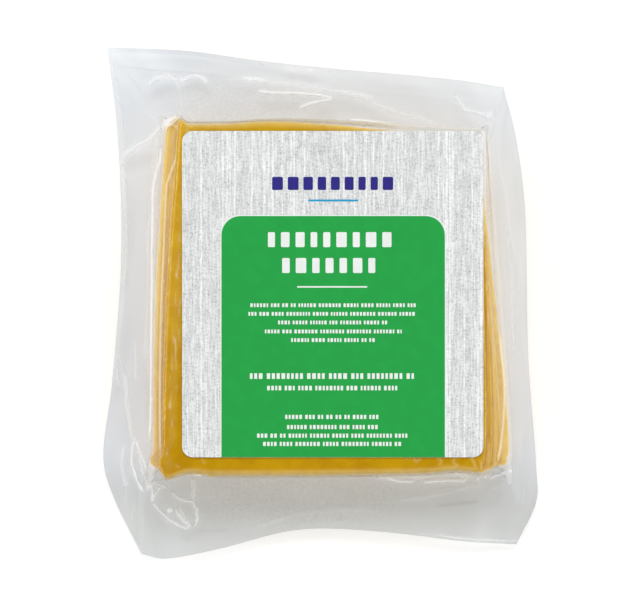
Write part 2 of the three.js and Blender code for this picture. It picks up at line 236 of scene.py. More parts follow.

# How grey the film is at the skirt's far and near ends and on the cheese: partly its own grey, and partly
# painted shade that makes the near end greyer. The greyer places of the skirt, which ramps bound, are
# mostly painted shade. A ramp is over x, y, the distance from the middle line or from the rim, or the
# distance past the fold at the top left.
FAR_GREY = 0.30
NEAR_GREY = 0.46
CHEESE_GREY = 0.06
MIDDLE_X = 2
SKIRT_SHADES = (
    (0.12, ("x", -44, -47), ("y", 48, 20), ("y", -42, -12)),
    (0.07, ("y", -60, -48), ("from_middle", 48, 36)),
    (0.16, ("y", -36, -50), ("from_middle", 40, 50)),
    (0.05, ("y", -44, -50)),
    (0.09, ("y", -44, -49), ("from_middle", 46, 32)),
    (0.04, ("x", -42, -46), ("y", 30, 10), ("y", -46, -34)),
    (0.06, ("x", 38, 52), ("y", -42, -58)),
    (0.05, ("x", 38, 48), ("y", 44, 54)),
    (0.05, ("past_fold", -0.5, 0.8), ("x", -36, -40), ("y", 60, 56)),
    (0.10, ("from_rim", 0.35, 0.1)),
)
# Where the food has misted the film: middle, half width, half height, and where the mist ends
MISTS = ((-20, 54, 19, 7, 1.1), (-6, -53, 32, 8, 1.15))
# Layers of noise: strength, and how fine once round the pack or along x, and across or along y
WRINKLES = ((0.06, 14, 0.3), (0.02, 36, 0.8))
GREY_BLOTCHES = ((0.02, 30, 0.22), (0.008, 110, 0.5))
WALL_CRINKLES = ((0.05, 420, 1.1), (0.05, 150, 0.6))
PAPER_WAVES = ((1.0, 1 / 17, 1 / 21), (0.5, 1 / 7, 1 / 9))

# Label and its print; the rows of print are places for words, filled with plain blocks
LABEL_SIZE = (80.4, 87.1)
LABEL_RADIUS = 2.9
LABEL_CENTRE = (3.3, 2.35)
LABEL_THICKNESS = 0.2
LABEL_BOW = 0.05
LABEL_EDGE_DROP = 0.03
PRINT_LIFT = 0.02
PANEL_BOX = (-26.4, -41.15, 33.2, 23.2)
PANEL_RADIUS = 5.1
PANEL_EDGE = 0.3
# Rows of print: left, right, middle, block height. The rules are left, low, right, high.
NAME_ROW = (-12.9, 19.4, 31.9, 3.5)
NAME_RULE = (-3.3, 27.1, 10.1, 27.6)
PANEL_RULE = (-6.2, 4.1, 12.5, 4.5)
TITLE_ROWS = ((-14.0, 20.4, 16.9, 4.0), (-10.2, 16.7, 10.0, 4.0))
SMALL_ROWS = (
    (-18.7, 25.4, -0.6, 1.0), (-19.2, 25.4, -2.9, 1.0), (-11.3, 18.0, -5.2, 1.0),
    (-14.8, 21.7, -7.6, 1.0), (-7.8, 14.8, -9.9, 1.0),
    (-18.8, 25.5, -19.5, 1.5), (-14.2, 20.5, -22.7, 1.2),
    (-9.4, 15.9, -30.4, 1.1), (-8.9, 15.4, -33.1, 1.1), (-16.9, 23.6, -35.4, 1.1),
    (-15.3, 21.7, -37.6, 1.1),
)

# Camera: straight above the pack. FRAME_WIDTH is what the picture's width covers at the skirt.
CAMERA_PLACE = (-0.11, -0.14)
CAMERA_HEIGHT = 1400.0
FRAME_LEVEL = 6.0
FRAME_WIDTH = 172.8
SENSOR_WIDTH = 36.0
# Studio, in metres. Lamps: name, degrees anticlockwise from +X, degrees up, distance, size, power,
# colour, and whether they show in reflections.
FLOOR_HALF = 4.0
LAMPS = (
    ("key", 93, 58, 2.4, (1.1, 0.8), 23.5, (0.98, 0.99, 1.0), False),
    ("front_fill", 270, 13, 2.0, (1.4, 0.5), 7.5, (1.0, 1.0, 0.99), False),
    ("left_fill", 180, 24, 2.0, (1.4, 0.8), 10.0, (1.0, 1.0, 0.99), False),
    ("right_fill", 0, 24, 2.0, (1.4, 0.8), 9.0, (1.0, 1.0, 0.99), False),
    ("left_strip", 183, 15, 2.0, (1.6, 0.2), 1.2, (1.0, 1.0, 1.0), True),
    ("right_strip", -4, 20, 2.0, (1.2, 0.2), 0.7, (1.0, 1.0, 1.0), True),
    ("back_strip", 90, 20, 2.0, (1.2, 0.16), 1.5, (1.0, 1.0, 1.0), True),
    ("front_strip", 272, 24, 2.0, (1.2, 0.14), 1.5, (1.0, 1.0, 1.0), True),
)

# Fineness: points round the outline, which crowd at the corners, and rings of them
STATIONS_PER_SIDE = 230
CORNER_CROWDING = 0.55
# Share of a side's length, in stations, that lies in the round part at each end
ROUNDED_SHARE = 0.12
SKIRT_RINGS = 100
LOWER_SKIRT_RINGS = 48
WALL_RINGS = 46
WALL_CROWDING = 1.6
LOWER_WALL_RINGS = 14
SHOULDER_RINGS = 6
FACE_INSETS = (*np.linspace(0.995, 0.88, 18).tolist(), 0.7, 0.4)
LOWER_FACE_INSETS = (0.95, 0.8, 0.5)
SLICE_STATIONS_PER_SIDE = 110
SLICE_FACE_INSETS = (0.995, 0.988, 0.98, 0.97, 0.95, 0.85, 0.6, 0.3)
SLICE_EDGE_STEPS = 6


def mix(a, b, share):
    return a + (b - a) * share


def clamp01(value):
    return np.clip(value, 0.0, 1.0)


def smooth(share):
    return share * share * (3 - 2 * share)


def ramp(value, start, end):
    """0 at start and 1 at end, smooth in between; start may be the larger one."""
    return smooth(clamp01((value - start) / (end - start)))


def bell(value, middle, half_width):
    """1 at the middle, and falling off on both sides of it."""
    return np.exp(-(((value - middle) / half_width) ** 2))


def srgb(red, green, blue):
    """A colour given as 0 to 255 in sRGB, in the linear values that shaders take."""
    values = np.array((red, green, blue)) / 255.0
    linear = np.where(values > 0.04045, ((values + 0.055) / 1.055) ** 2.4, values / 12.92)
    return (*linear.tolist(), 1.0)


def lattice_noise(x, y, seed):
    """Smooth noise from -1 to 1 over a square lattice one unit wide."""
    column, row = np.floor(x).astype(np.int64), np.floor(y).astype(np.int64)
    fx, fy = smooth(x - column), smooth(y - row)

    def corner(dx, dy):
        key = (column + dx) * 374761393 + (row + dy) * 668265263 + seed * 974634777
        key = (key ^ (key >> 13)) * 1274126177
        return ((key ^ (key >> 16)) & 0xFFFF) / 32767.5 - 1.0

    low = mix(corner(0, 0), corner(1, 0), fx)
    high = mix(corner(0, 1), corner(1, 1), fx)
    return mix(low, high, fy)


def layered_noise(x, y, layers, seed):
    total = 0
    for number, (strength, fineness_x, fineness_y) in enumerate(layers):
        total = total + strength * lattice_noise(x * fineness_x, y * fineness_y, seed + number)
    return total


# ---------------------------------------------------------------- outlines
class Stations:
    """Places once round the pack, anticlockwise from the top left corner, denser at the corners."""

    def __init__(self, per_side):
        even = np.arange(per_side) / per_side
        along = even - CORNER_CROWDING * np.sin(2 * np.pi * even) / (2 * np.pi)
        self.side = np.repeat(np.arange(4), per_side)
        self.along = np.tile(along, 4)
        self.turn = (self.side + np.tile(even, 4)) / 4
        self.rim = np.concatenate([rim_side(side, along) for side in range(4)])


def rim_side(side, along):
    """Points of the pouch's outline on one side: a centripetal Catmull-Rom curve, by its length."""
    points = np.vstack([CORNERS[side], SIDES[side], CORNERS[(side + 1) % 4]])
    ends = np.vstack([2 * points[0] - points[1], points, 2 * points[-1] - points[-2]])
    t = np.linspace(0, 1, 60, endpoint=False)[:, None]
    spans = []
    for p0, p1, p2, p3 in zip(ends, ends[1:], ends[2:], ends[3:]):
        d0, d1, d2 = (math.sqrt(np.linalg.norm(b - a)) for a, b in ((p0, p1), (p1, p2), (p2, p3)))
        start = ((p1 - p0) / d0 - (p2 - p0) / (d0 + d1) + (p2 - p1) / d1) * d1
        end = ((p2 - p1) / d1 - (p3 - p1) / (d1 + d2) + (p3 - p2) / d2) * d1
        square = -3 * p1 + 3 * p2 - 2 * start - end
        cube = 2 * p1 - 2 * p2 + start + end
        spans.append(p1 + start * t + square * t**2 + cube * t**3)
    line = np.vstack([*spans, points[-1:]])
    length = np.concatenate([[0], np.cumsum(np.linalg.norm(np.diff(line, axis=0), axis=1))])
    wanted = along * length[-1]
    return np.stack([np.interp(wanted, length, line[:, k]) for k in range(2)], axis=1)


def spread_of(level):
    """How far the fan has opened at a slice's index, which may lie between two slices."""
    top = SLICE_COUNT - 1
    tucked = 1 - BASE_TUCK * (WIDE_SLICE_INDEX - level)
    opened = (top - level) / (top - WIDE_SLICE_INDEX)
    return tucked if level < WIDE_SLICE_INDEX else opened


def slice_corners(index, top=TOP_SLICE, wide=WIDE_SLICE):
    shift = np.array([math.sin(2.4 * index + 1), math.sin(3.7 * index)]) * SLICE_SHIFT
    return mix(top, wide, spread_of(index)) + shift


def outline_points(corners, stations, bows=FILM_BOWS):
    """A four-sided outline with round corners and slightly bowed sides, at every station."""
    at = [corners[(stations.side + k) % 4] for k in (-1, 0, 1, 2)]
    along = stations.along[:, None]

    def rounded(before, corner, after, share):
        def towards(target):
            length = np.linalg.norm(target - corner, axis=1, keepdims=True)
            return mix(corner, target, CORNER_RADIUS / length)

        start, end = towards(before), towards(after)
        return mix(mix(start, corner, share), mix(corner, end, share), share)

    first = rounded(at[0], at[1], at[2], 0.5 + 0.5 * along / ROUNDED_SHARE)
    last = rounded(at[1], at[2], at[3], 0.5 * (along - 1 + ROUNDED_SHARE) / ROUNDED_SHARE)
    edge = at[2] - at[1]
    length = np.linalg.norm(edge, axis=1, keepdims=True)
    straight = (along - ROUNDED_SHARE) / (1 - 2 * ROUNDED_SHARE)
    inset = CORNER_RADIUS / length
    skewed = clamp01(straight) ** BOW_SKEWS[stations.side][:, None]
    bow = bows[stations.side][:, None] * np.sin(np.pi * skewed) / length
    middle = mix(at[1], at[2], mix(inset, 1 - inset, straight)) + bow * edge[:, ::-1] * (1, -1)
    points = np.where(along < ROUNDED_SHARE, first, np.where(along > 1 - ROUNDED_SHARE, last, middle))
    for axis, end, at_place, half_width, move in DENTS:
        outermost = ramp(points[:, axis] * end, DENT_START, DENT_END)
        points[:, axis] += end * move * outermost * bell(points[:, 1 - axis], at_place, half_width)
    return points


def outwards(points, stations, distance):
    """Points moved towards the rim."""
    reach = stations.rim - points
    length = np.linalg.norm(reach, axis=1, keepdims=True)
    return points + reach / length * np.reshape(distance, (-1, 1))


def ear_reach(stations):
    """How far the film stands off the block at the corners, at every station."""
    reach = np.zeros(len(stations.along))
    for side in range(4):
        length = np.linalg.norm(WIDE_FILM[(side + 1) % 4] - WIDE_FILM[side])
        here = stations.side == side
        for corner, share in ((side, stations.along), ((side + 1) % 4, 1 - stations.along)):
            near = smooth(clamp01(1 - share * length / EAR_HALF_WIDTH))
            reach += np.where(here, EAR_REACHES[corner] * near, 0)
    return reach


def stand_off(x, y):
    """1 where the film stands off the slices beside the top right corner, and 0 elsewhere."""
    along_top = ramp(x, 8, 26) * ramp(y, 38, 42)
    down_right = ramp(y, 12, 32) * ramp(x, 39, 42)
    return np.maximum(along_top, down_right)


def ear_looseness(height):
    """How much of the ear is left at a height: 1 at the skirt, and 0 at the base and near the top."""
    above = height > SKIRT_FOOT_HEIGHT
    reach = EAR_TOP_HEIGHT - SKIRT_FOOT_HEIGHT if above else SKIRT_FOOT_HEIGHT
    return float(clamp01(1 - abs(height - SKIRT_FOOT_HEIGHT) / reach)) ** EAR_CURVE


def film_corners(height):
    """The film's outline round the stack at a height: it runs straight from edge to edge of the fan."""
    upright = min(max(height / SLICE_THICKNESS - 0.5, 0), WIDE_SLICE_INDEX)
    sloped = (height + SHOULDER_RADIUS) / SLICE_THICKNESS - 1
    level = min(max(sloped, upright), SLICE_COUNT - 1)
    index = int(min(level, SLICE_COUNT - 2))
    lower = slice_corners(index, TOP_FILM, WIDE_FILM)
    upper = slice_corners(index + 1, TOP_FILM, WIDE_FILM)
    return mix(lower, upper, level - index)


def film_ring(height, stations, growth, loose):
    points = outline_points(film_corners(height), stations)
    return outwards(points, stations, growth + loose * ear_reach(stations))


# ---------------------------------------------------------------- creases
def segment_distance(x, y, line):
    """Distance from every point to a line of several segments, and how far along it that is."""
    best = np.full(x.shape, np.inf)
    share_of_best = np.zeros(x.shape)
    for k, ((ax, ay), (bx, by)) in enumerate(zip(line, line[1:])):
        dx, dy = bx - ax, by - ay
        share = clamp01(((x - ax) * dx + (y - ay) * dy) / (dx * dx + dy * dy))
        distance = np.hypot(ax + share * dx - x, ay + share * dy - y)
        nearer = distance < best
        best = np.where(nearer, distance, best)
        share_of_best = np.where(nearer, (k + share) / (len(line) - 1), share_of_best)
    return best, share_of_best


def crease_fields(x, y, creases):
    """Height of creases at every point, with their crests' painted highlight, which below 0 is painted
    shade: sharp crests that run out at both ends.
    """
    height = np.zeros(x.shape)
    white = np.zeros(x.shape)
    dark = np.zeros(x.shape)
    for line, top, half_width, pale in creases:
        distance, share = segment_distance(x, y, line)
        ends = smooth(clamp01(np.minimum(share, 1 - share) * 8 + 0.1))
        height += CREASE_RELIEF * top * ends * np.exp(-((distance / half_width) ** 1.2))
        tone = pale * ends * np.exp(-((distance / (0.45 * half_width + 0.17)) ** 3))
        white = np.maximum(white, tone)
        dark = np.minimum(dark, tone)
    return height, white + dark


# ---------------------------------------------------------------- film
def by_side(stations, amounts, near=0.06):
    """An amount given for each side, at every station; a corner has the mean of its two sides."""
    own, before, after = (np.array(amounts)[(stations.side + step) % 4] for step in (0, -1, 1))
    amount = mix((own + before) / 2, own, ramp(stations.along, 0, near))
    return mix(amount, (own + after) / 2, ramp(stations.along, 1 - near, 1))


def skirt_surface(stations, rings, facing):
    """One film of the skirt from the rim to the block: rings by stations by xyz, and its state."""
    foot_level = (WIDE_SLICE_INDEX + 0.5) * SLICE_THICKNESS
    foot = film_ring(foot_level, stations, SKIRT_FILLET, 1.0)
    width = np.linalg.norm(foot - stations.rim, axis=1)
    seal = by_side(stations, SEAL_WIDTHS, ROUNDED_SHARE) / width
    share = np.linspace(0, 1, rings)[:, None]
    plane = mix(stations.rim[None], foot[None], share[..., None])
    x, y = plane[..., 0], plane[..., 1]
    depth = share * width
    angle = 2 * np.pi * stations.turn[None]
    wave = WAVE_HEIGHT * (np.sin(3 * angle + 0.6) + 0.5 * np.sin(7 * angle + 2))
    ripple = RIPPLE_HEIGHT * np.sin(RIPPLE_COUNT * angle + 4 * share)
    loose = smooth(1 - share)
    z = mix(RIM_HEIGHT + wave * loose, SKIRT_FOOT_HEIGHT, share**SKIRT_CURVE) + ripple * loose
    free = ramp(share, 0, 0.06) * ramp(share, 1, 0.96)
    crease, white = crease_fields(x, y, SKIRT_CREASES)
    open_film = ramp(share, seal * 0.9, seal * 1.3)
    turn = stations.turn[None] + 0 * depth
    wrinkles = layered_noise(turn, depth, WRINKLES, SEED)
    z = z + crease * free + wrinkles * free * mix(0.1, 1.0, open_film)
    gap = mix(SEAL_GAP, SKIRT_GAP, ramp(share, seal, seal + 0.12))
    surface = np.stack([x, y, z + facing * gap / 2], axis=-1)
    return surface, skirt_state(stations, x, y, depth, white)


def skirt_state(stations, x, y, depth, white):
    """The skirt's film at every point: how grey, with painted shade; how misted; how white, with painted
    highlights; and no cheese under it.
    """
    left, bottom, right, top = (by_side(stations, one_side)[None] for one_side in np.eye(4))
    turn = stations.turn[None] + 0 * depth
    along = stations.along[None] + 0 * depth
    places = {
        "x": x,
        "y": y,
        "from_middle": np.abs(x - MIDDLE_X),
        "from_rim": depth,
        "past_fold": y - 39 - 0.72 * (x + 53.9),
    }
    # Painted shade: greyer towards the near end, where the block's shadow falls, and in the skirt's greyer
    # places.
    grey = mix(FAR_GREY, NEAR_GREY, ramp(y, 20, -60))
    for amount, *bounds in SKIRT_SHADES:
        grey += amount * np.prod([ramp(places[name], start, end) for name, start, end in bounds], axis=0)
    # the mouth's welded band is paler, with a grey lip and a line inside it, and so is the left weld
    grey += top * (0.015 * ramp(depth, 6, 8) - 0.08 * ramp(depth, 6.2, 5.4))
    grey += 0.2 * top * ramp(depth, 1.5, 1.1) * ramp(along, 0.5, 0.8)
    grey += 0.2 * top * bell(depth, 6.2, 0.25) * ramp(along, 0.65, 0.85)
    grey -= 0.13 * left * ramp(depth, 1.7, 1.1) * ramp(y, -30, 0)
    grey += layered_noise(turn, depth, GREY_BLOTCHES, SEED + 2)
    # A little greyer on the right, and painted shade along the dark creases.
    grey += 0.035 * right + 0.4 * np.maximum(-white, 0)
    mist = 0
    for middle_x, middle_y, half_x, half_y, end in MISTS:
        distance = np.hypot((x - middle_x) / half_x, (y - middle_y) / half_y)
        mist = np.maximum(mist, ramp(distance, end, 0.6))
    # light on the rim: in dashes along the mouth, and in a line along the bottom and the left
    dashes = ramp(lattice_noise(turn * 160, 0 * depth, SEED + 4), -0.5, 0.1)
    top_light = 0.8 * top * bell(depth, 1.1, 0.3) * dashes
    top_light = top_light * ramp(along, 0.72, 0.64) * ramp(along, 0.42, 0.5)
    bottom_light = 0.7 * bottom * bell(depth, 0.8, 0.3) * ramp(along, 0.7, 0.85)
    left_light = 0.25 * left * bell(depth, 1.6, 0.3) * ramp(y, 0, 20)
    white = np.maximum.reduce([white, top_light, bottom_light, left_light])
    return np.stack([clamp01(grey), mist, clamp01(white), 0 * white], axis=-1)


def wall_surface(stations, rings, end_height, facing, creases, crests):
    """The film up or down the block's wall, from the skirt to the shoulder.

    The creases lie over the fan; the painted highlights of the crests run on from the skirt, and end a
    little way up the wall."""
    start_height = SKIRT_FOOT_HEIGHT + facing * SKIRT_GAP / 2
    sheen = by_side(stations, WALL_SHEENS)
    rows = []
    states = []
    for share in np.linspace(0, 1, rings + 1)[1:] ** WALL_CROWDING:
        height = mix(start_height, end_height, share)
        risen = abs(height - start_height)
        left_of_fillet = max(0.0, 1 - risen / FILLET_HEIGHT)
        fillet = (SKIRT_FILLET - FILM_GROWTH) * (1 - math.sqrt(1 - left_of_fillet**2))
        level = np.full(len(stations.turn), height)
        crinkle = layered_noise(stations.turn, level, WALL_CRINKLES, SEED + 5)
        growth = FILM_GROWTH + fillet + crinkle * ramp(risen, 0, 1)
        points = film_ring(height, stations, growth, ear_looseness(height))
        lift, white = crease_fields(points[:, 0], points[:, 1], creases)
        points = outwards(points, stations, lift)
        crest_highlight = crease_fields(points[:, 0], points[:, 1], crests)[1] * float(ramp(risen, 2.6, 1.2))
        rows.append(np.column_stack([points, level]))
        cover = float(ramp(risen, 0.0, 1.4))
        on_cheese = cover * ramp(ear_reach(stations) * ear_looseness(height), 1.2, 0.3)
        grey = mix(FAR_GREY, CHEESE_GREY, on_cheese)
        over_fan = float(ramp(height, SKIRT_FOOT_HEIGHT + 0.5, SKIRT_FOOT_HEIGHT + 2))
        # Painted sheen: the film makes the cheese on the fan paler.
        pale = sheen * over_fan * on_cheese
        whiteness = np.maximum.reduce([pale, white, crest_highlight])
        warm = on_cheese * ramp(whiteness, 0.9, 0.5)
        states.append(np.column_stack([grey, 0.1 * cover + 0 * grey, whiteness, warm]))
    return np.stack(rows), np.stack(states)


def face_surface(stations, index, face_height, facing, insets, creases):
    """The round edge between the wall and a flat face, and the face as far as its middle."""
    corners = slice_corners(index, TOP_FILM, WIDE_FILM)
    rows = []
    for angle in np.linspace(0, math.pi / 2, SHOULDER_RINGS + 1)[1:]:
        height = face_height - facing * SHOULDER_RADIUS * (1 - math.sin(angle))
        growth = FILM_GROWTH - SHOULDER_RADIUS * (1 - math.cos(angle))
        points = outwards(outline_points(corners, stations), stations, growth)
        rows.append(np.column_stack([points, np.full(len(points), height)]))
    edge = rows[-1]
    centre = edge.mean(axis=0)
    rows.extend(mix(centre, edge, inset) for inset in insets)
    surface = np.stack(rows)
    lift, white = crease_fields(surface[..., 0], surface[..., 1], creases)
    surface[..., 2] += facing * lift
    inwards = np.linalg.norm(surface[..., :2] - rows[0][None, :, :2], axis=-1)
    # Painted sheen and painted shade near the upper edge; painted sheen and glints beside the label and
    # where the film stands off the slices.
    near_edge = ramp(inwards, SHEEN_AND_SHADE_REACH, SHEEN_AND_SHADE_REACH / 2)
    sheen = by_side(stations, EDGE_SHEENS)[None] * near_edge
    glints = ramp(lattice_noise(surface[..., 0] * 2.2, surface[..., 1] * 0.4, SEED + 7), 0.25, 0.8)
    beside_label = by_side(stations, (1, 0, 0, 0)) * ramp(inwards, 1.3, 2.2) * ramp(inwards, 5.0, 3.5)
    sheen = np.maximum(sheen, (LEFT_SHEEN + GLINT_WHITENESS * glints) * beside_label * (facing > 0))
    grey = CHEESE_GREY + by_side(stations, EDGE_SHADES)[None] * near_edge
    apart = stand_off(surface[..., 0], surface[..., 1]) * ramp(inwards, 3.2, 2.0)
    whiteness = np.maximum.reduce([white, sheen, STAND_OFF_SHEEN * apart])
    warm = ramp(whiteness, 0.9, 0.5) * (1 - apart)
    return surface, np.stack([grey, 0 * grey, whiteness, warm], axis=-1)


# ---------------------------------------------------------------- meshes
def ring_faces(rings, count, closed_end, flip):
    """Quads between rings of points, and a fan of triangles to one more point past the last ring."""
    k = np.arange(count)
    after = (k + 1) % count
    quads = []
    for ring in range(rings - 1):
        low, high = ring * count, (ring + 1) * count
        quads.append(np.stack([low + k, low + after, high + after, high + k], axis=1))
    faces = np.concatenate(quads).tolist()
    if closed_end:
        last = (rings - 1) * count
        faces += np.stack([last + k, last + after, np.full(count, rings * count)], axis=1).tolist()
    return [face[::-1] for face in faces] if flip else faces


def base_faces(count, middle):
    """Triangles from the first ring to a point under its middle."""
    k = np.arange(count)
    return np.stack([(k + 1) % count, k, np.full(count, middle)], axis=1).tolist()


def make_mesh(name, vertices, faces, smooth_shading=True):
    """An object from points in millimetres."""
    mesh = bpy.data.meshes.new(name)
    mesh.from_pydata((np.asarray(vertices) * MM).tolist(), [], faces)
    if smooth_shading:
        mesh.shade_smooth()
    else:
        mesh.shade_flat()
    piece = bpy.data.objects.new(name, mesh)
    bpy.context.scene.collection.objects.link(piece)
    return piece


def set_attribute(piece, name, values):
    """A value of up to four parts at every vertex, which the material reads."""
    attribute = piece.data.attributes.new(name, "FLOAT_COLOR", "POINT")
    parts = np.ones((len(values), 4), dtype=np.float32)
    parts[:, :values.shape[1]] = values
    attribute.data.foreach_set("color", parts.ravel())


def place(piece, material, slot, replaced):
    """Give a piece its material and body, and the node that it stands in for."""
    piece.data.materials.append(material)
    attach(piece, "root")
    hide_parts(replaced)


def film_sheet(name, parts, material, flip, closed_end):
    """One piece of film from rings of points that follow on from one another."""
    surface = np.concatenate([part[0] for part in parts])
    state = np.concatenate([part[1] for part in parts])
    rings, count = surface.shape[:2]
    vertices = surface.reshape(-1, 3)
    states = state.reshape(-1, 4)
    if closed_end:
        vertices = np.vstack([vertices, surface[-1].mean(axis=0)])
        states = np.vstack([states, state[-1].mean(axis=0)])
    vertices[:, 2] = np.maximum(vertices[:, 2], LOWEST_FILM)
    piece = make_mesh(name, vertices, ring_faces(rings, count, closed_end, flip))
    set_attribute(piece, "film_state", states)
    place(piece, material, "film", "pouch")


def make_film(material):
    """The upper film goes over the stack and the lower one under it; they meet at the rim."""
    stations = Stations(STATIONS_PER_SIDE)
    skirt = skirt_surface(stations, SKIRT_RINGS, 1)
    wall_end = STACK_HEIGHT - SHOULDER_RADIUS
    wall = wall_surface(stations, WALL_RINGS, wall_end, 1, BLOCK_CREASES, SKIRT_CREASES)
    face_height = STACK_HEIGHT + FACE_LIFT
    face = face_surface(stations, SLICE_COUNT - 1, face_height, 1, FACE_INSETS, FACE_CREASES)
    skirt_end = (skirt[0][-1:], skirt[1][-1:])
    film_sheet("film_skirt_upper", [skirt], material, False, False)
    film_sheet("film_over_stack", [skirt_end, wall, face], material, False, True)
    skirt = skirt_surface(stations, LOWER_SKIRT_RINGS, -1)
    wall = wall_surface(stations, LOWER_WALL_RINGS, SHOULDER_RADIUS, -1, (), ())
    face = face_surface(stations, 0, 0, -1, LOWER_FACE_INSETS, ())
    film_sheet("film_lower", [skirt, wall, face], material, True, True)


# ---------------------------------------------------------------- slices
def slice_profile():
    """Inset from the outline and height within the slice, round its edge from face to face."""
    angles = np.linspace(0, math.pi / 2, SLICE_EDGE_STEPS)
    insets = SLICE_EDGE_RADIUS * (1 - np.sin(angles))
    low = list(zip(insets, SLICE_EDGE_RADIUS * (1 - np.cos(angles))))
    high = [(inset, SLICE_BODY - height) for inset, height in reversed(low)]
    upright = SLICE_BODY - 2 * SLICE_EDGE_RADIUS
    middle = [(0.0, SLICE_EDGE_RADIUS + share * upright) for share in (0.33, 0.67)]
    return low + middle + high


def slice_paleness(index, stations, inwards):
    """How pale a slice is, in painted highlight: most at the widest slices, and on the top one only near its
    rim.
    """
    opened = float(ramp(index, SLICE_COUNT - 2.2, WIDE_SLICE_INDEX + 0.2))
    pales = LOWER_PALES if index < WIDE_SLICE_INDEX else FAN_PALES
    fan = opened * by_side(stations, pales) * ramp(inwards, FAN_PALE_REACH, FAN_PALE_REACH / 3)
    face = by_side(stations, FACE_PALES) * ramp(inwards, FACE_PALE_REACH, 0.3)
    return np.maximum(fan, face)


def make_slice(index, stations, material):
    outline = outline_points(slice_corners(index), stations, SLICE_BOWS)
    base = index * SLICE_THICKNESS + SLICE_BASE_GAP
    on_top_slice = index == SLICE_COUNT - 1
    at_bump = bell(outline[:, 0], BUMP_X, BUMP_HALF_WIDTH) * (outline[:, 1] < -DENT_START)
    bump = BUMP_HEIGHT * at_bump * on_top_slice
    to_corner = np.minimum(stations.along, 1 - stations.along)
    rough = CHEESE_CRUMB * ramp(to_corner, 0.9 * ROUNDED_SHARE, 1.3 * ROUNDED_SHARE)
    rows = []
    cut = []
    for inset, height in slice_profile():
        level = np.full(len(stations.turn), height)
        crumb = rough * lattice_noise(stations.turn * 330, level * 1.4, SEED + index)
        ring = outwards(outline, stations, crumb + bump - inset - SLICE_INSET)
        rows.append(np.column_stack([ring, level + base]))
        cut.append(1 - inset / SLICE_EDGE_RADIUS)
    centre = rows[0].mean(axis=0)[:2]

    def face_rows(row, insets):
        return [np.column_stack([mix(centre, row[:, :2], inset), row[:, 2]]) for inset in insets]

    lower = face_rows(rows[0], SLICE_FACE_INSETS[::-1])
    upper = face_rows(rows[-1], SLICE_FACE_INSETS)
    surface = np.stack(lower + rows + upper)
    edge = np.concatenate([np.zeros(len(lower)), cut, np.zeros(len(upper))])
    inwards = np.linalg.norm(surface[..., :2] - outline, axis=-1)
    pale = slice_paleness(index, stations, inwards)
    rings, count = surface.shape[:2]
    bottom = np.array([[*centre, surface[0, 0, 2]]])
    top = np.array([[*centre, surface[-1, 0, 2]]])
    vertices = np.vstack([surface.reshape(-1, 3), top, bottom])
    faces = ring_faces(rings, count, True, False) + base_faces(count, rings * count + 1)
    piece = make_mesh(f"slice_{index + 1}", vertices, faces)
    edges = np.concatenate([np.repeat(edge, count), [0, 0]])
    pales = np.concatenate([pale.ravel(), [0, 0]])
    # Painted light: the slices are lighter towards the far end and the right.
    lit_far_end = np.maximum(ramp(vertices[:, 1], -44, 50), 0.6 * ramp(vertices[:, 0], 34, 48))
    lower = np.full(len(vertices), float(index < WIDE_SLICE_INDEX))
    set_attribute(piece, "slice_state", np.column_stack([edges, pales, lit_far_end, lower]))
    place(piece, material, "cheese", "pouch")


def make_slices(material):
    stations = Stations(SLICE_STATIONS_PER_SIDE)
    for index in range(SLICE_COUNT):
        make_slice(index, stations, material)


# ---------------------------------------------------------------- label
def rounded_rectangle(box, radii, per_side, steps):
    """Outline of a rectangle, anticlockwise from the lower left; a radius for each corner."""
    x0, y0, x1, y1 = box
    corners = ((x0, y0), (x1, y0), (x1, y1), (x0, y1))
    inwards = ((1, 1), (-1, 1), (-1, -1), (1, -1))
    arcs = []
    for turn, ((cx, cy), (sx, sy), radius) in enumerate(zip(corners, inwards, radii)):
        angles = math.pi + turn * math.pi / 2 + np.linspace(0, math.pi / 2, steps if radius else 1)
        middle = (cx + sx * radius, cy + sy * radius)
        arcs.append(np.stack([middle[0] + radius * np.cos(angles), middle[1] + radius * np.sin(angles)], 1))
    pieces = []
    for arc, following in zip(arcs, arcs[1:] + arcs[:1]):
        between = np.linspace(0, 1, per_side + 1, endpoint=False)[1:, None]
        pieces.extend([arc, mix(arc[-1], following[0], between)])
    return np.vstack(pieces)


def label_level(x, y):
    """Height of the label's upper side: it follows the stack, and isn't quite flat."""
    waves = layered_noise(x, y, PAPER_WAVES, SEED + 8)
    return LABEL_TOP - LABEL_BOW + LABEL_BOW * 0.5 * waves


def inset_rings(outline, insets):
    """An outline and smaller copies of it towards its middle, as rings by points by xy."""
    centre = outline.mean(axis=0)
    return np.stack([mix(centre, outline, inset) for inset in insets])


def make_label(material):
    half = np.array(LABEL_SIZE) / 2
    box = (*(np.array(LABEL_CENTRE) - half), *(np.array(LABEL_CENTRE) + half))
    outline = rounded_rectangle(box, [LABEL_RADIUS] * 4, 40, 10)
    rings = inset_rings(outline, (1.0, 0.998, *np.linspace(0.97, 0.03, 28)))
    level = label_level(rings[..., 0], rings[..., 1])
    level[0] -= LABEL_EDGE_DROP
    upper = np.concatenate([rings, level[..., None]], axis=-1)
    under = upper[0] - (0, 0, LABEL_THICKNESS - LABEL_EDGE_DROP)
    surface = np.concatenate([under[None], upper])
    vertices = np.vstack([surface.reshape(-1, 3), upper[-1].mean(axis=0), under.mean(axis=0)])
    count = len(outline)
    faces = ring_faces(len(surface), count, True, False) + base_faces(count, len(vertices) - 1)
    piece = make_mesh("label_paper", vertices, faces)
    place(piece, material, "label_paper", "label")


def print_field(name, outline, lift, material, insets=(1.0, 0.5)):
    """A field of print that follows the paper."""
    rings = inset_rings(outline, insets)
    level = label_level(rings[..., 0], rings[..., 1]) + lift
    surface = np.concatenate([rings, level[..., None]], axis=-1)
    vertices = np.vstack([surface.reshape(-1, 3), surface[-1].mean(axis=0)])
    piece = make_mesh(name, vertices, ring_faces(len(surface), len(outline), True, False))
    place(piece, material, "label_print", "label")


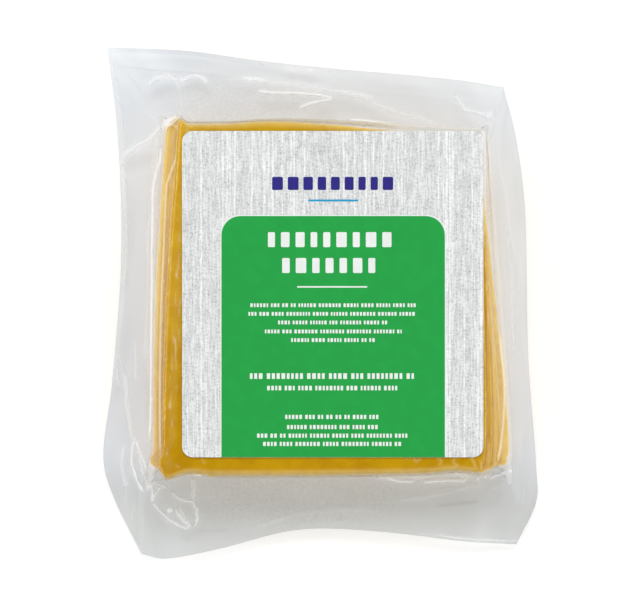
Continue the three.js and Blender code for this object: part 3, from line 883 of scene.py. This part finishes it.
def block_row(row, letter, gap, space, seed):
    """Plain upright blocks in groups, where a printed line has its words."""
    left, right, middle, height = row
    blocks = []
    x = left
    count = 0
    group = 3 + seed % 4
    random = np.random.default_rng(seed)
    while x < right - letter * 0.6:
        width = letter * (0.75 + 0.5 * random.random())
        blocks.append((x, middle - height / 2, min(x + width, right), middle + height / 2))
        x += width + gap
        count += 1
        if count == group:
            x += space
            count = 0
            group = 2 + int(random.integers(0, 7))
    return blocks


def block_rows(rows, letter, gap, space, seed):
    """Rows of blocks, whose widths and gaps are shares of each row's height."""
    blocks = []
    for number, row in enumerate(rows):
        height = row[3]
        blocks += block_row(row, height * letter, height * gap, height * space, seed + number)
    return blocks


def print_blocks(name, blocks, lift, material, radius):
    """Many small blocks of print as one piece."""
    vertices = []
    faces = []
    for box in blocks:
        outline = rounded_rectangle(box, [radius] * 4, 0, 3)
        first = len(vertices)
        for x, y in outline:
            vertices.append((x, y, float(label_level(x, y)) + lift))
        faces.append(list(range(first, first + len(outline))))
    piece = make_mesh(name, vertices, faces, False)
    place(piece, material, "label_print", "label")


# ---------------------------------------------------------------- materials
class Nodes:
    """Short ways to make the nodes and links of a new material or world."""

    def __init__(self, name, family="materials"):
        self.owner = getattr(bpy.data, family).new(name)
        self.owner.use_nodes = True
        self.tree = self.owner.node_tree
        self.tree.nodes.clear()

    def add(self, kind, settings=None, **inputs):
        node = self.tree.nodes.new(kind)
        for key, value in (settings or {}).items():
            setattr(node, key, value)
        for key, value in inputs.items():
            self.feed(node.inputs[key.replace("_", " ")], value)
        return node

    def feed(self, socket, value):
        if isinstance(value, bpy.types.NodeSocket):
            self.tree.links.new(value, socket)
        else:
            socket.default_value = value

    def math(self, operation, a, b=0.0):
        node = self.add("ShaderNodeMath", {"operation": operation})
        self.feed(node.inputs[0], a)
        self.feed(node.inputs[1], b)
        return node.outputs[0]

    def place_in(self, axis, space="Object"):
        """The place along one axis, which in object space is in metres."""
        place = self.add("ShaderNodeTexCoord").outputs[space]
        return self.add("ShaderNodeSeparateXYZ", Vector=place).outputs[axis]

    def noise(self, scale, detail=2.0, stretch=(1, 1, 1)):
        """Noise from 0 to 1 in object space; scale is in cycles per metre."""
        place = self.add("ShaderNodeTexCoord").outputs["Object"]
        mapped = self.add("ShaderNodeMapping", Vector=place, Scale=stretch).outputs[0]
        return self.add("ShaderNodeTexNoise", Vector=mapped, Scale=scale, Detail=detail).outputs["Fac"]

    def spread(self, value, low, high, to_low=0.0, to_high=1.0, kind="SMOOTHSTEP"):
        """A value from low to high, made to go from to_low to to_high."""
        limits = {"From_Min": low, "From_Max": high, "To_Min": to_low, "To_Max": to_high}
        return self.add("ShaderNodeMapRange", {"interpolation_type": kind}, Value=value, **limits).outputs[0]

    def bump(self, height, strength, distance):
        return self.add("ShaderNodeBump", Height=height, Strength=strength, Distance=distance).outputs[0]

    def colour(self, share, low, high):
        node = self.add("ShaderNodeMix", {"data_type": "RGBA"})
        self.feed(node.inputs[0], share)
        self.feed(node.inputs[6], low)
        self.feed(node.inputs[7], high)
        return node.outputs[2]

    def blend(self, share, first, second):
        node = self.add("ShaderNodeMixShader", Fac=share)
        self.tree.links.new(first, node.inputs[1])
        self.tree.links.new(second, node.inputs[2])
        return node.outputs[0]

    def principled(self, colour, roughness, normal, **others):
        """The whole material, with one shader of this colour."""
        inputs = {"Base_Color": colour, "Roughness": roughness, "Normal": normal, **others}
        return self.finish(self.add("ShaderNodeBsdfPrincipled", **inputs).outputs[0])

    def finish(self, shader, output="ShaderNodeOutputMaterial"):
        self.add(output, Surface=shader)
        return self.owner


def film_material():
    """Clear film: grey where two layers lie together and in painted shade, bluer away from the near end in
    painted light, misted by the food, with painted highlights on its creases.
    """
    n = Nodes("film")
    state = n.add("ShaderNodeAttribute", {"attribute_name": "film_state"}).outputs
    on_cheese = state["Alpha"]
    parts = n.add("ShaderNodeSeparateColor", Color=state["Color"]).outputs
    grey, mist, white = parts[0], parts[1], parts[2]
    blotches = n.spread(n.noise(1200, 4.0), 0.3, 0.72)
    misted = n.math("MULTIPLY", mist, blotches)
    darker = n.math("ADD", n.math("MULTIPLY", misted, 0.08), grey)
    # Painted light: the film is bluer away from the near end, a tint of the cool light.
    lit_far_end = n.spread(n.place_in("Y"), -0.058, -0.036)
    two_layers_and_shade = n.colour(lit_far_end, (0.785, 0.792, 0.788, 1), (0.785, 0.80, 0.835, 1))
    tint = n.colour(darker, (0.975, 0.987, 0.992, 1), two_layers_and_shade)
    clear = n.add("ShaderNodeBsdfTransparent", Color=tint).outputs[0]
    # Painted highlight on the crests: white, and warm over the cheese.
    crest_highlight = n.colour(on_cheese, (0.97, 0.98, 0.99, 1), srgb(255, 230, 160))
    scattered = n.add("ShaderNodeBsdfDiffuse", Color=crest_highlight).outputs[0]
    let_through = n.add("ShaderNodeBsdfTranslucent", Color=(0.98, 0.98, 0.98, 1)).outputs[0]
    mist_and_highlight_layer = n.blend(0.2, scattered, let_through)
    # The mist and the crests' painted highlights make the film milky.
    mist_and_highlight = n.math("MAXIMUM", n.math("MULTIPLY", white, 0.9), n.math("MULTIPLY", misted, 0.05))
    body = n.blend(mist_and_highlight, clear, mist_and_highlight_layer)
    bump = n.bump(n.noise(1400), 0.12, 0.0001)
    gloss = n.add("ShaderNodeBsdfGlossy", Roughness=0.1, Normal=bump).outputs[0]
    facing = n.add("ShaderNodeLayerWeight", Blend=0.5, Normal=bump).outputs["Facing"]
    fresnel = n.spread(n.math("POWER", facing, 4.0), 0.0, 1.0, 0.04, 0.9, "LINEAR")
    calm = n.spread(on_cheese, 0.0, 1.0, 1.0, 0.6)
    return n.finish(n.blend(n.math("MULTIPLY", fresnel, calm), body, gloss))


def cheese_material():
    """Amber cheese with a mottled body and crumbly cut edges, which a painted highlight makes paler; painted
    light makes it lighter towards the far end and the right.

    The lower slices are seen through the skirt, whose grey turns yellow olive, so they are warmer."""
    n = Nodes("cheese")
    state = n.add("ShaderNodeAttribute", {"attribute_name": "slice_state"}).outputs
    parts = n.add("ShaderNodeSeparateColor", Color=state["Color"]).outputs
    edge, paleness, lit_far_end, lower = parts[0], parts[1], parts[2], state["Alpha"]
    mottle = n.spread(n.noise(160, 4.0), 0.3, 0.7)
    near_body = n.colour(mottle, srgb(196, 144, 0), srgb(210, 161, 2))
    # Painted light: the body is lighter and yellower towards the far end.
    lit_far_body = n.colour(mottle, srgb(213, 162, 12), srgb(224, 179, 30))
    lower_body = n.colour(mottle, srgb(212, 149, 2), srgb(225, 166, 16))
    body = n.colour(lower, n.colour(lit_far_end, near_body, lit_far_body), lower_body)
    # Painted highlight: the cut edges and the slices' edges are paler, broken up by crumbs and clouds.
    pale = n.colour(lower, srgb(252, 226, 150), srgb(254, 219, 130))
    crumbs = n.spread(n.noise(700, 3.0), 0.45, 0.72)
    crumbly_edge_highlight = n.math("MULTIPLY", edge, n.spread(crumbs, 0.0, 1.0, 0.15, 0.7))
    cloudy_highlight = n.math("MULTIPLY", paleness, n.spread(n.noise(420, 3.0), 0.3, 0.7, 0.7, 1.0))
    colour = n.colour(n.math("MAXIMUM", crumbly_edge_highlight, cloudy_highlight), body, pale)
    bump = n.bump(n.noise(1100, 3.0), 0.3, 0.0002)
    under_surface = {
        "Subsurface_Weight": 0.25,
        "Subsurface_Scale": 0.002,
        "Subsurface_Radius": (1.0, 0.55, 0.12),
    }
    return n.principled(colour, 0.5, bump, Specular_IOR_Level=0.2, **under_surface)


def paper_material():
    """White paper printed with the look of linen: long upright threads and short cross threads."""
    n = Nodes("label_paper")
    upright = n.spread(n.noise(1500, 0.0, (1, 0.004, 1)), 0.54, 0.68)
    fine = n.spread(n.noise(2300, 1.0, (1, 0.09, 1)), 0.4, 0.62)
    across = n.spread(n.noise(2300, 1.0, (0.3, 1, 1)), 0.38, 0.62)
    dots = n.spread(n.noise(2300, 1.0, (1, 0.8, 1)), 0.3, 0.48)
    threads = n.math("ADD", n.math("MULTIPLY", upright, 0.27), n.math("MULTIPLY", fine, 0.27))
    grain = n.math("ADD", n.math("MULTIPLY", across, 0.14), n.math("MULTIPLY", dots, 0.34))
    cloth = n.math("ADD", threads, grain)
    colour = n.colour(cloth, srgb(176, 179, 178), srgb(252, 253, 252))
    return n.principled(colour, 0.55, n.bump(cloth, 0.15, 0.00005))


def ink_material(name, colour):
    """Printed ink, a little uneven, on the paper's tooth."""
    n = Nodes(name)
    darker = (*(part * 0.94 for part in colour[:3]), 1.0)
    uneven = n.colour(n.spread(n.noise(300, 3.0), 0.3, 0.7), darker, colour)
    return n.principled(uneven, 0.5, n.bump(n.noise(2500), 0.1, 0.00003))


# ---------------------------------------------------------------- stage
def make_floor():
    n = Nodes("floor")
    shader = n.add("ShaderNodeBsdfPrincipled", Roughness=0.9)
    shader.inputs["Base Color"].default_value = (0.8, 0.8, 0.8, 1)
    shader.inputs["Emission Color"].default_value = (1, 1, 1, 1)
    shader.inputs["Emission Strength"].default_value = 0.3
    mesh = bpy.data.meshes.new("floor")
    corners = [(x * FLOOR_HALF, y * FLOOR_HALF, 0) for x, y in ((-1, -1), (1, -1), (1, 1), (-1, 1))]
    mesh.from_pydata(corners, [], [(0, 1, 2, 3)])
    mesh.materials.append(n.finish(shader.outputs[0]))
    floor = bpy.data.objects.new("floor", mesh)
    bpy.context.scene.collection.objects.link(floor)


def make_lamp(name, azimuth, elevation, distance, size, power, colour, in_reflections):
    """A soft lamp that faces the pack."""
    lamp = bpy.data.lights.new(name, "AREA")
    lamp.shape = "RECTANGLE"
    lamp.size, lamp.size_y = size
    lamp.energy = power
    lamp.color = colour
    holder = bpy.data.objects.new(name, lamp)
    a, e = math.radians(azimuth), math.radians(elevation)
    across = distance * math.cos(e)
    holder.location = (across * math.cos(a), across * math.sin(a), distance * math.sin(e))
    holder.rotation_euler = (math.pi / 2 - e, 0, a + math.pi / 2)
    holder.visible_glossy = in_reflections
    bpy.context.scene.collection.objects.link(holder)


def make_lights():
    """Bright surroundings that are dim overhead, a key lamp beyond the pack, and lamps round it."""
    n = Nodes("studio", "worlds")
    strength = n.spread(n.place_in("Z", "Generated"), 0.7, 0.96, 0.66, 0.05)
    light = n.add("ShaderNodeBackground", Color=(1, 1, 1, 1), Strength=strength).outputs[0]
    bpy.context.scene.world = n.finish(light, "ShaderNodeOutputWorld")
    for lamp in LAMPS:
        make_lamp(*lamp)


def make_camera():
    camera = bpy.data.cameras.new("camera")
    camera.sensor_width = SENSOR_WIDTH
    camera.lens = SENSOR_WIDTH * (CAMERA_HEIGHT - FRAME_LEVEL) / FRAME_WIDTH
    holder = bpy.data.objects.new("camera", camera)
    holder.location = (CAMERA_PLACE[0] * MM, CAMERA_PLACE[1] * MM, CAMERA_HEIGHT * MM)
    bpy.context.scene.collection.objects.link(holder)
    bpy.context.scene.camera = holder
    bpy.context.scene.view_settings.view_transform = "Standard"


def make_print():
    white = ink_material("ink_white", srgb(238, 243, 239))
    green = ink_material("ink_green", srgb(33, 163, 70))
    navy = ink_material("ink_navy", srgb(46, 40, 130))
    cyan = ink_material("ink_cyan", srgb(29, 160, 212))
    x0, y0, x1, y1 = PANEL_BOX
    edge = PANEL_EDGE
    radii = (0, 0, PANEL_RADIUS, PANEL_RADIUS)
    insets = tuple(np.linspace(1, 0.05, 14))
    wide = rounded_rectangle((x0 - edge, y0, x1 + edge, y1 + edge), radii, 16, 10)
    print_field("print_panel_edge", wide, PRINT_LIFT, white, insets)
    panel = rounded_rectangle(PANEL_BOX, radii, 16, 10)
    print_field("print_panel", panel, 2 * PRINT_LIFT, green, insets)
    title = block_rows(TITLE_ROWS, 0.575, 0.4, 0.0, 11)
    print_blocks("print_title", title, 3 * PRINT_LIFT, white, 0.3)
    small = block_rows(SMALL_ROWS, 0.55, 0.3, 0.45, 31) + [PANEL_RULE]
    print_blocks("print_small", small, 3 * PRINT_LIFT, white, 0.08)
    name_blocks = block_row(NAME_ROW, 2.5, 1.3, 0.0, 5)
    print_blocks("print_name", name_blocks, 2 * PRINT_LIFT, navy, 0.35)
    print_blocks("print_rule", [NAME_RULE], 2 * PRINT_LIFT, cyan, 0.2)


make_camera()
make_lights()
make_floor()
make_film(film_material())
make_slices(cheese_material())
make_label(paper_material())
make_print()
